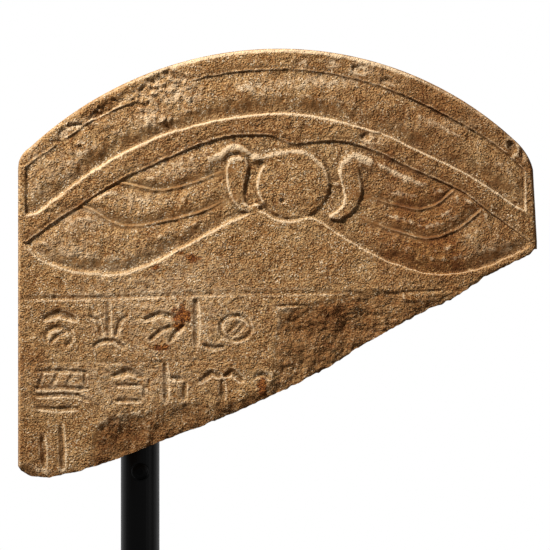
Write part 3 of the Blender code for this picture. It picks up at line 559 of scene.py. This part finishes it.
# The front's edge carried back as rings: each keeps its share of the way to the back, then
# turns inwards on a quarter round, and the break and the foot of each side rise as they go
def steleBody():
    s = steleValues
    u, v, front = perimeter(gridU), perimeter(gridV), perimeter(gridDepth)
    n = len(u)
    across, down = nCols - 1, nRows - 1
    isBreak = np.zeros(n)
    isBreak[across + down:2 * across + down] = 1.0
    blend = 15  # places either way over which the break eases into the sides
    isBreak = np.concatenate([isBreak[-blend:], isBreak, isBreak[:blend]])
    isBreak = np.convolve(isBreak, np.ones(2 * blend + 1) / (2 * blend + 1), "valid")
    alongU = np.roll(u, -3) - np.roll(u, 3)
    alongV = np.roll(v, -3) - np.roll(v, 3)
    length = np.hypot(alongU, alongV) + 1e-9
    inU, inV = -alongV / length, alongU / length  # clockwise path, so inwards is to its right
    onSide = np.zeros(n)
    for corner, side in ((across + down, slice(across, across + down)),
                         (2 * across + down, slice(2 * across + down, n))):
        onSide[side] = np.clip(1 - (v[corner] - v[side]) / s["riseOver"], 0, 1)
    lift = np.maximum(isBreak, onSide)
    r, back = s["edgeRounding"], s["thickness"]
    rings = []
    for share, turn in [(0.12, 0), (0.34, 0), (0.6, 0), (1.0, 0),
                        (1.0, 35), (1.0, 65), (1.0, 90)]:
        level = front + (back - r - front) * share + r * math.sin(math.radians(turn))
        inset = r * (1 - math.cos(math.radians(turn)))
        reach = (level - front) / (back - front)
        rough = layeredNoise(u + v, level, [(22, 2.2), (9, 1.4), (4, 0.7)], 95)
        rise = lift * reach * s["riseToBack"] + isBreak * np.clip(reach * 5, 0, 1) * (rough + 2.4)
        side = 1 - isBreak
        dressed = side * layeredNoise(u + v, level, [(14, 0.35), (5, 0.25)], 97)
        dressed = np.clip(dressed, 0, 1) * np.clip(reach * 6, 0, 1)
        push = inset * (side + 0.3 * isBreak) + dressed
        ringU = np.clip(u + inU * push, inset, rightEdge(v) - inset)  # keeps the corners in line
        rings.append((ringU, v + inV * push - rise, level))
    return rings


rings = steleBody()
print("stele: sides and back")
coarse = gridValues["backCoarser"]
backAcross, backDown = (nCols - 1) // coarse, (nRows - 1) // coarse


def backLoop():  # the last ring drawn 3 mm towards the middle, at every fifth place
    u, v, _ = rings[-1]
    inU, inV = 150.0 - u, 130.0 - v
    length = np.hypot(inU, inV) + 1e-9
    return (u + inU / length * 3)[::coarse], (v + inV / length * 3)[::coarse]


# A four-sided patch from its edge alone: the blend of its upper and lower edges, plus that
# of its two sides, less that of its four corners
def patch(loop):
    topEdge = loop[:backAcross + 1]
    rightSide = loop[backAcross:backAcross + backDown + 1]
    lowEdge = loop[backAcross + backDown:2 * backAcross + backDown + 1][::-1]
    leftSide = np.append(loop[2 * backAcross + backDown:], loop[0])[::-1]
    s = np.linspace(0, 1, backAcross + 1)[None, :]
    t = np.linspace(0, 1, backDown + 1)[:, None]
    ruled = (1 - t) * topEdge[None, :] + t * lowEdge[None, :]
    ruled += (1 - s) * leftSide[:, None] + s * rightSide[:, None]
    return ruled - ((1 - s) * (1 - t) * topEdge[0] + s * (1 - t) * topEdge[-1]
                    + (1 - s) * t * lowEdge[0] + s * t * lowEdge[-1])


patchU, patchV = (patch(loop) for loop in backLoop())
backDents = np.abs(layeredNoise(patchU, patchV, [(24, 0.8), (11, 0.7)], 99))
patchDepth = steleValues["thickness"] - 0.1 - 0.7 * backDents


def gridFaces(nDown, nAcross, first):  # quads of a grid whose rows run down
    index = first + np.arange(nDown * nAcross).reshape(nDown, nAcross)
    quads = [index[:-1, :-1], index[1:, :-1], index[1:, 1:], index[:-1, 1:]]
    return np.stack(quads, -1).reshape(-1, 4)


def assembleStele():  # one closed skin: front grid, rings round the side, reduction, back
    places = [toWorld(gridU, gridV, gridDepth).reshape(-1, 3)]
    front = gridFaces(nRows, nCols, 0)
    index = np.arange(nRows * nCols).reshape(nRows, nCols)
    previous = perimeter(index)
    faces, total = [front], nRows * nCols
    for u, v, level in rings:
        places.append(toWorld(u, v, level))
        now = total + np.arange(len(u))
        total += len(u)
        faces.append(np.stack([previous, np.roll(previous, -1), np.roll(now, -1), now], 1))
        previous = now
    places.append(toWorld(patchU, patchV, patchDepth).reshape(-1, 3))
    backIndex = total + np.arange(patchU.size).reshape(patchU.shape)
    loop = perimeter(backIndex)
    fine = previous.reshape(-1, coarse)
    after = np.roll(previous, -coarse).reshape(-1, coarse)[:, :1]
    run = np.concatenate([fine, after], 1)
    triangles = [np.stack([run[:, k], run[:, k + 1], loop], 1) for k in range(coarse)]
    triangles.append(np.stack([run[:, coarse], np.roll(loop, -1), loop], 1))
    back = gridFaces(*patchU.shape, backIndex[0, 0])[:, ::-1]
    quads = np.concatenate(faces + [back])
    return np.concatenate(places), quads, np.concatenate(triangles)


def makeMesh(name, places, quads, triangles=np.zeros((0, 3), int)):  # arrays into a mesh
    mesh = bpy.data.meshes.new(name)
    mesh.vertices.add(len(places))
    mesh.vertices.foreach_set("co", places.astype(np.float32).ravel())
    corners = np.concatenate([quads.ravel(), triangles.ravel()])
    mesh.loops.add(len(corners))
    mesh.loops.foreach_set("vertex_index", corners.astype(np.int32))
    starts = np.concatenate([np.arange(len(quads)) * 4,
                             len(quads) * 4 + np.arange(len(triangles)) * 3])
    mesh.polygons.add(len(starts))
    mesh.polygons.foreach_set("loop_start", starts.astype(np.int32))
    mesh.update(calc_edges=True)
    mesh.validate()
    mesh.shade_smooth()
    piece = bpy.data.objects.new(name, mesh)
    bpy.context.scene.collection.objects.link(piece)
    return piece


def keepMask(mesh, name, values):  # one number for each vertex, read by the material
    layer = mesh.attributes.new(name, "FLOAT", "POINT")
    full = np.zeros(len(mesh.vertices), np.float32)
    full[:values.size] = values.ravel()
    layer.data.foreach_set("value", full)


places, quads, triangles = assembleStele()
steleStone = makeMesh("stele_stone", places, quads, triangles)
steleStone.data.set_sharp_from_angle(angle=math.radians(60))

# Rust: centre, half sizes, strength
rustSpots = [((105, 171), (6.5, 6), 1), ((102, 178), (3, 3), 1), ((91, 191.5), (6.5, 2.2), 1),
             ((111, 134.5), (5.5, 2.6), 1), ((88, 140.5), (3, 1.6), 1), ((104, 131), (2, 1.2), 1),
             ((156, 217), (3.6, 6), 1)]

# Fresh knocks and rubbed places, paler than the skin: the same
freshSpots = [((183, 10.5), (4, 4), 1), ((201.5, 9.5), (6, 3.6), 1), ((219.4, 14), (9, 4.5), 1),
              ((238, 22), (7, 3.2), 0.8), ((227, 58), (9, 5.5), 1), ((324.5, 67.5), (4, 6), 1),
              ((47, 46), (6, 3), 1), ((29, 55.5), (5, 4), 1), ((37, 50), (5, 3), 1),
              ((98, 28), (19, 11), 1), ((84, 44), (9, 6), 1), ((190, 22), (30, 4.5), 1),
              ((150, 25), (14, 3.5), 1), ((42, 110), (18, 8), 0.6), ((76, 98), (16, 5), 0.5),
              ((100, 77), (20, 6), 0.5), ((14, 92), (7, 9), 0.5), ((30, 75), (14, 10), 0.4),
              ((92, 165), (60, 40), 0.4), ((246, 88), (9, 4), 0.7), ((262, 132), (16, 5), 0.5),
              ((170, 168), (7, 2), 1), ((166, 176), (2, 5), 0.7), ((70, 238), (22, 3), 0.6),
              ((60, 215), (60, 16), 0.45), ((28, 128), (24, 8), 0.5), ((12, 70), (12, 9), 0.5),
              ((300, 128), (22, 5), 0.5), ((275, 48), (36, 5), 0.4)]


def spotShare(spots, ragged, low, high):  # each spot's strength within it, nought outside
    share = np.zeros(gridU.shape)
    for (cu, cv), (halfU, halfV), strength in spots:
        away = np.hypot((gridU - cu) / halfU, (gridV - cv) / halfV) + ragged
        share = np.maximum(share, strength * (1 - ease(away, low, high)))
    return share


def slopes(field):  # how fast a field grows downwards and to the right
    return (np.gradient(field, axis=0) / np.gradient(gridV, axis=0),
            np.gradient(field, axis=1) / np.gradient(gridU, axis=1))


def stoneMasks():  # what the colours need to know at each front vertex
    stone = steleStone.data
    u, v = gridU, gridV
    relief = steleDepth(u, v, 0.3)
    gap = outlineGap(u, v).clip(0)
    ragged = layeredNoise(u, v, [(3.2, 0.5), (1.5, 0.3)], 33)
    rimLine, bandTopLine, bandLine, _, _, fieldLine = (
        edgeAt(points, u, seed) for seed, points in enumerate(carvedLines))

    # facing the light: one where the surface looks up and to the left, less than nought where away
    # it drives a painted highlight on slopes that face the light and painted shade on those facing
    # away
    down, right = slopes(gridDepth)
    turned = softened(-0.8 * down - 0.6 * right, 1)
    keepMask(stone, "turned", np.clip(turned / 0.5, -1, 1))

    # calm: where the light falls away from a wall, along the feather lines and on the scar
    # on walls facing away from the light this quiets the grain's colour, as painted shade, and its
    # bumps
    down, right = slopes(relief)
    onFeather = np.zeros(u.shape)
    for points, seed, spans in ((upperFeathers, 3, upperSpans), (lowerFeathers, 4, lowerSpans)):
        away = acrossLine(u, v, points, seed)
        onFeather = np.maximum(onFeather, np.exp(-(away / 2.4) ** 2) * spanShare(u, spans, 5))
    calm = np.maximum(ease(0.8 * down + 0.6 * right, 0.05, 0.22), onFeather)
    scar = ease(scarReach(u, v), 0.0, 6.0)
    keepMask(stone, "calm", calm + (0.3 - calm) * scar)

    # proud: how far a place stands above the mean around it, for painted highlight on lit arrises
    # and painted shade in hollows
    # the painted highlight is held back near the outer edge, but not at the crown
    atCrown = ease(u, 70, 110) * (1 - ease(u, 225, 265))
    proud = (softened(relief, 2) - relief) * (1 - (0.8 - 0.9 * atCrown) * np.exp(-gap / 4))
    proud = np.clip(proud / 0.24, -1, 1)
    litOnly = np.clip(0.75 + 1.2 * turned, 0.15, 1) * (1 - 0.4 * onFeather)
    keepMask(stone, "proud", np.where(proud > 0, proud * litOnly, proud))

    # warm: the browner skin to the right, on the left edge, along the band and on the scar
    onWing = (v > bandLine) & (v < fieldLine)
    toRight = ease(u, 190, 262) * ease(v, 20, 70)
    toRight *= 0.6 + 0.4 * onWing - 0.1 * (v > fieldLine)
    toRight = np.maximum(toRight, 0.55 * ease(u - v * 0.9, 150, 240))
    toRight *= 1 - 0.5 * ease(u, 268, 300)
    toLeft = 0.3 * np.exp(-u / 9) * ease(v, 100, 170) + 0.1 * ease(v, 225, 262)
    for cu, cv, halfU, halfV in ((9, 199, 11, 9), (20, 259, 16, 9)):
        toLeft += 0.45 * np.exp(-((u - cu) / halfU) ** 2 - ((v - cv) / halfV) ** 2)
    toLeft += 0.3 * (v > bandTopLine) * (v < bandLine) * (1 - ease(u, 190, 230))
    onRim = (v < rimLine) * (0.3 * ease(u, 150, 200) + 0.3 * ease(u, 230, 260))
    onRim += (0.15 - 0.1 * atCrown) * ease(u, 100, 200) * np.exp(-gap / 5)
    patches = layeredNoise(u, v, [(34, 0.5), (14, 0.35)], 35)
    warm = np.max([toRight, toLeft, onRim, 0.55 * scar], axis=0) + patches * 0.6
    keepMask(stone, "warm", np.clip(warm, 0, 1))

    # sunk: deep in the carving. rust and the pale knocks: their spots, and a painted highlight along
    # the right of the rim's outer arris
    keepMask(stone, "sunk", np.clip(gridDepth / 1.6, 0, 1) * (1 - scar) * (v > rimLine))
    keepMask(stone, "rust", spotShare(rustSpots, ragged, 0.7, 1.15))
    # painted highlight: a pale strip along the outer arris on the right of the rim, where light from
    # above would catch it
    arrisHighlight = ease(u, 215, 235) * (1 - ease(u, 296, 308)) * np.exp(-(gap / 3.2) ** 2)
    freshAndHighlight = np.maximum(0.8 * arrisHighlight, spotShare(freshSpots, ragged * 0.7, 0.3, 1.3))
    keepMask(stone, "freshAndHighlight", freshAndHighlight)


stoneMasks()
print("stele:", len(steleStone.data.polygons), "faces")


def linear(code):  # an sRGB hex colour as linear red, green, blue and a full alpha
    parts = [int(code[i:i + 2], 16) / 255 for i in (1, 3, 5)]
    parts = [c / 12.92 if c <= 0.04045 else ((c + 0.055) / 1.055) ** 2.4 for c in parts]
    return (*parts, 1.0)


def addNode(tree, kind, props=None, values=None, links=None):  # a node, its settings and links
    node = tree.nodes.new(kind)
    for name, value in (props or {}).items():
        setattr(node, name, value)
    for name, value in (values or {}).items():
        node.inputs[name].default_value = value
    for name, source in (links or {}).items():
        tree.links.new(source, node.inputs[name])
    return node


def newMaterial(name):  # a material, its nodes and its shader
    material = bpy.data.materials.new(name)
    material.use_nodes = True
    tree = material.node_tree
    return material, tree, tree.nodes["Principled BSDF"]


# Sandstone, hand dressed and buried for a long time: a gritty, quite matt stone whose
# grains are 0.3 to 1 mm across. The grain is drawn at about 1 mm, as coarse as it shows.
sandstoneValues = {
    "body": "#976A3A", "pale": "#C09865", "deep": "#582F08", "ochre": "#85511A",
    "grey": "#8E734C", "hollowShade": "#362008", "edge": "#DFC098", "fleck": "#ECD6B4",
    "glaze": "#C8AA80", "rust": "#5E300E", "rustPale": "#B46E2A",
    "roughness": 0.93, "specular": 0.3, "roughWhereCalm": 0.25,
    # patterns: size in millimetres, detail, roughness of the noise, and a shift
    "patterns": {
        "blotch": (26.0, 4, 0.55, 0.0), "grit": (3.4, 2, 0.55, 0.0), "grain": (0.9, 0, 0.55, 0.0),
        "cluster": (7.0, 2, 0.6, 8.8), "speck": (0.99, 0, 0.5, 3.1), "dark": (1.17, 0, 0.5, 6.7),
        "wash": (12.0, 3, 0.5, 4.2), "stain": (15.0, 3, 0.6, 1.3),
    },
    # layers, the lowest first: the colour, and its share as the product of patterns or masks.
    # Three numbers take one smoothly from nought, at the first, to the third, at the second.
    "layers": [
        ("pale", ("blotch", 0.44, 0.64, 0.6)),
        ("grey", ("sunk",), ("wash", 0.2, 0.7, 0.6)),
        ("ochre", ("stain", 0.52, 0.7, 0.8)),
        ("ochre", ("cluster", 0.56, 0.38, 0.55)),
        ("deep", ("grit", 0.48, 0.66, 0.35)),
        # painted highlight on slopes facing the light, then painted shade on slopes facing away
        ("pale", ("turned", 0.1, 0.8, 0.45)),
        ("deep", ("turned", -0.1, -0.9, 0.35)),
        ("deep", ("rough",), ("dark", 0.42, 0.66, 0.8)),
        ("pale", ("rough",), ("grain", 0.42, 0.64, 0.8)),
        # painted shade in the hollows
        ("hollowShade", ("proud", -0.3, -1.0, 0.4)),
        # paler knocks, and the painted highlight along the right of the rim's outer arris
        ("edge", ("freshAndHighlight",), ("grit", 0.40, 0.60, 0.8)),
        ("fleck", ("cluster", 0.42, 0.60, 0.8), ("speck", 0.60, 0.76, 1.0)),
        ("glaze", ("warm",)),
        # painted highlight on arrises that face the light
        ("edge", ("proud", 0.25, 0.9, 0.8)),
        ("rust", ("rust",)),
        ("rustPale", ("rust",), ("grain", 0.5, 0.62, 0.7)),
    ],
    "bumps": [("grit", 1.1), ("grain", 0.5), ("dark", 0.4)],  # heights in millimetres
}


def sandstone():
    s = sandstoneValues
    material, tree, shader = newMaterial("weathered sandstone")
    coords = addNode(tree, "ShaderNodeTexCoord").outputs["Object"]
    source = {}
    for name, (size, detail, rough, shift) in s["patterns"].items():
        shifted = addNode(tree, "ShaderNodeMapping", None, {"Location": (shift, 0, shift)},
                          {"Vector": coords}).outputs["Vector"]
        source[name] = addNode(tree, "ShaderNodeTexNoise", None,
                               {"Scale": 1000 / size, "Detail": detail, "Roughness": rough},
                               {"Vector": shifted}).outputs["Fac"]
    for name in ("turned", "calm", "proud", "warm", "sunk", "rust", "freshAndHighlight"):
        source[name] = addNode(tree, "ShaderNodeAttribute", {"attribute_name": name}).outputs["Fac"]
    source["rough"] = addNode(tree, "ShaderNodeMapRange", None,
                              {"To Min": 1.0, "To Max": s["roughWhereCalm"]},
                              {"Value": source["calm"]}).outputs["Result"]
    surface = None
    for colour, *parts in s["layers"]:
        share = None
        for name, *span in parts:
            part = source[name]
            if span:
                part = addNode(tree, "ShaderNodeMapRange", {"interpolation_type": "SMOOTHSTEP"},
                               dict(zip(("From Min", "From Max", "To Max"), span)),
                               {"Value": part}).outputs["Result"]
            if share is not None:
                part = addNode(tree, "ShaderNodeMath", {"operation": "MULTIPLY"}, None,
                               {0: share, 1: part}).outputs[0]
            share = part
        blend = "MULTIPLY" if colour == "glaze" else "MIX"
        mix = addNode(tree, "ShaderNodeMix", {"data_type": "RGBA", "blend_type": blend},
                      {6: linear(s["body"]), 7: linear(s[colour])}, {0: share})
        if surface is not None:
            tree.links.new(surface, mix.inputs[6])  # 6 is the colour below, 7 the one laid on
        surface = mix.outputs[2]
    tree.links.new(surface, shader.inputs["Base Color"])
    normal = None
    for name, height in s["bumps"]:
        bump = addNode(tree, "ShaderNodeBump", None, {"Distance": height * mm},
                       {"Height": source[name], "Strength": source["rough"]})
        if normal is not None:
            tree.links.new(normal, bump.inputs["Normal"])
        normal = bump.outputs["Normal"]
    tree.links.new(normal, shader.inputs["Normal"])
    shader.inputs["Roughness"].default_value = s["roughness"]
    shader.inputs["Specular IOR Level"].default_value = s["specular"]
    return material


steleStone.data.materials.append(sandstone())
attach(steleStone, "root")
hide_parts("stele_fragment")
print("stele: sandstone on")


# Mild steel, sprayed satin black: smooth, with a soft sheen that varies over a few
# centimetres, and faint orange peel. The roughness is its range, the patterns are sizes in
# millimetres.
blackSteelValues = {"colour": "#050506", "specular": 0.36, "roughness": (0.25, 0.39),
                    "pattern": 35.7, "detail": 4.0, "peel": 1.6}

# Turned steel screw, chemically blackened: darker and drier than the paint, finely streaked
oxideValues = {"colour": "#040404", "specular": 0.25, "roughness": (0.36, 0.50),
               "pattern": 0.4, "detail": 3.0, "peel": None}


def darkSteel(name, s):
    material, tree, shader = newMaterial(name)
    coords = addNode(tree, "ShaderNodeTexCoord").outputs["Object"]
    pattern = addNode(tree, "ShaderNodeTexNoise", None,
                      {"Scale": 1000 / s["pattern"], "Detail": s["detail"]},
                      {"Vector": coords}).outputs["Fac"]
    smooth, dull = s["roughness"]
    gloss = addNode(tree, "ShaderNodeMapRange", None,
                    {"From Min": 0.3, "From Max": 0.7, "To Min": smooth, "To Max": dull},
                    {"Value": pattern}).outputs["Result"]
    tree.links.new(gloss, shader.inputs["Roughness"])
    if s["peel"]:
        peel = addNode(tree, "ShaderNodeTexNoise", None,
                       {"Scale": 1000 / s["peel"], "Detail": 2.0}, {"Vector": coords}).outputs["Fac"]
        bump = addNode(tree, "ShaderNodeBump", None, {"Strength": 0.25, "Distance": 0.04 * mm},
                       {"Height": peel})
        tree.links.new(bump.outputs["Normal"], shader.inputs["Normal"])
    shader.inputs["Base Color"].default_value = linear(s["colour"])
    shader.inputs["Specular IOR Level"].default_value = s["specular"]
    return material


blackPaint = darkSteel("satin black painted steel", blackSteelValues)
for nodeName, finish in (("stand_post", blackPaint), ("stand_foot", blackPaint),
                         ("lock_screw", darkSteel("black oxide steel", oxideValues))):
    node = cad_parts[nodeName]
    node.data.materials.clear()
    node.data.materials.append(finish)
print("stand: paint on")


studioValues = {
    "cameraDistance": 9.0, "frameWidth": 351.8, "frameCentre": (164.4, 145.2),
    "keyPlace": (-1.28, -0.95, 1.92), "keySize": 0.30, "keyPower": 5.0, "keySpread": 40.0,
    "stripPlace": (1.5, -1.0, 0.5), "stripSize": 0.5, "stripPower": 1.5,
    "lightsAim": (0, 0, 0.24), "frontAmbient": 0.13, "backAmbient": 0.55,
    "paper": "#F4F3F0", "floorGlow": 0.5, "floorRadius": 1.3,
}


def studio():  # a pale round floor, a white surround, and a key from the upper left
    s = studioValues
    turn, out = np.meshgrid(np.linspace(0, 2 * np.pi, 97)[:-1], np.linspace(0.0005, 1, 12))
    x, y = out * s["floorRadius"] * np.cos(turn), out * s["floorRadius"] * np.sin(turn)
    disc = np.stack([x, y, x * 0], -1).reshape(-1, 3)
    index = np.arange(x.size).reshape(x.shape)
    after = np.roll(index, -1, 1)
    quads = np.stack([index[:-1], index[1:], after[1:], after[:-1]], -1).reshape(-1, 4)
    floor = makeMesh("pale_floor", disc, quads)
    material, tree, shader = newMaterial("pale matt paper")
    shader.inputs["Base Color"].default_value = linear(s["paper"])
    shader.inputs["Roughness"].default_value = 0.9
    shader.inputs["Emission Color"].default_value = linear(s["paper"])
    shader.inputs["Emission Strength"].default_value = s["floorGlow"]
    floor.data.materials.append(material)
    floor.visible_diffuse = False  # seen, but throws no light up on the stone
    floor.visible_glossy = False
    target = Vector(s["lightsAim"])
    for name in ("key", "strip"):
        light = bpy.data.lights.new(name, "AREA")
        light.shape = "DISK"
        light.size = s[name + "Size"]
        light.energy = s[name + "Power"]
        lamp = bpy.data.objects.new(name, light)
        lamp.location = s[name + "Place"]
        lamp.rotation_euler = (target - lamp.location).to_track_quat("-Z", "Y").to_euler()
        bpy.context.scene.collection.objects.link(lamp)
    bpy.data.lights["key"].spread = math.radians(s["keySpread"])
    world = bpy.data.worlds.new("studio")
    world.use_nodes = True
    bpy.context.scene.world = world
    tree = world.node_tree
    sky = tree.nodes["Background"]
    sky.inputs["Color"].default_value = (1, 1, 1, 1)
    direction = addNode(tree, "ShaderNodeTexCoord").outputs["Generated"]
    towardsBack = addNode(tree, "ShaderNodeSeparateXYZ", None, None, {0: direction}).outputs["Y"]
    ambient = addNode(tree, "ShaderNodeMapRange", None,
                      {"From Min": -0.1, "From Max": 0.5, "To Min": s["frontAmbient"],
                       "To Max": s["backAmbient"]}, {"Value": towardsBack}).outputs["Result"]
    seen = addNode(tree, "ShaderNodeLightPath").outputs["Is Camera Ray"]
    strength = addNode(tree, "ShaderNodeMath", {"operation": "MAXIMUM"}, None,
                       {0: ambient, 1: seen}).outputs[0]
    tree.links.new(strength, sky.inputs["Strength"])
    bpy.context.scene.view_settings.view_transform = "Standard"


def cameraInPlace():  # straight on, far away with a long lens, framed as drawn
    s = studioValues
    u, v = s["frameCentre"]
    centre = toWorld(u, v, 0.0)
    data = bpy.data.cameras.new("camera")
    data.lens = data.sensor_width * s["cameraDistance"] / (s["frameWidth"] * mm)
    data.clip_end = 50.0
    camera = bpy.data.objects.new("camera", data)
    camera.location = (centre[0], centre[1] - s["cameraDistance"], centre[2])
    camera.rotation_euler = (math.radians(90), 0, 0)
    bpy.context.scene.collection.objects.link(camera)
    bpy.context.scene.camera = camera


studio()
cameraInPlace()
print("studio: lights and camera placed")
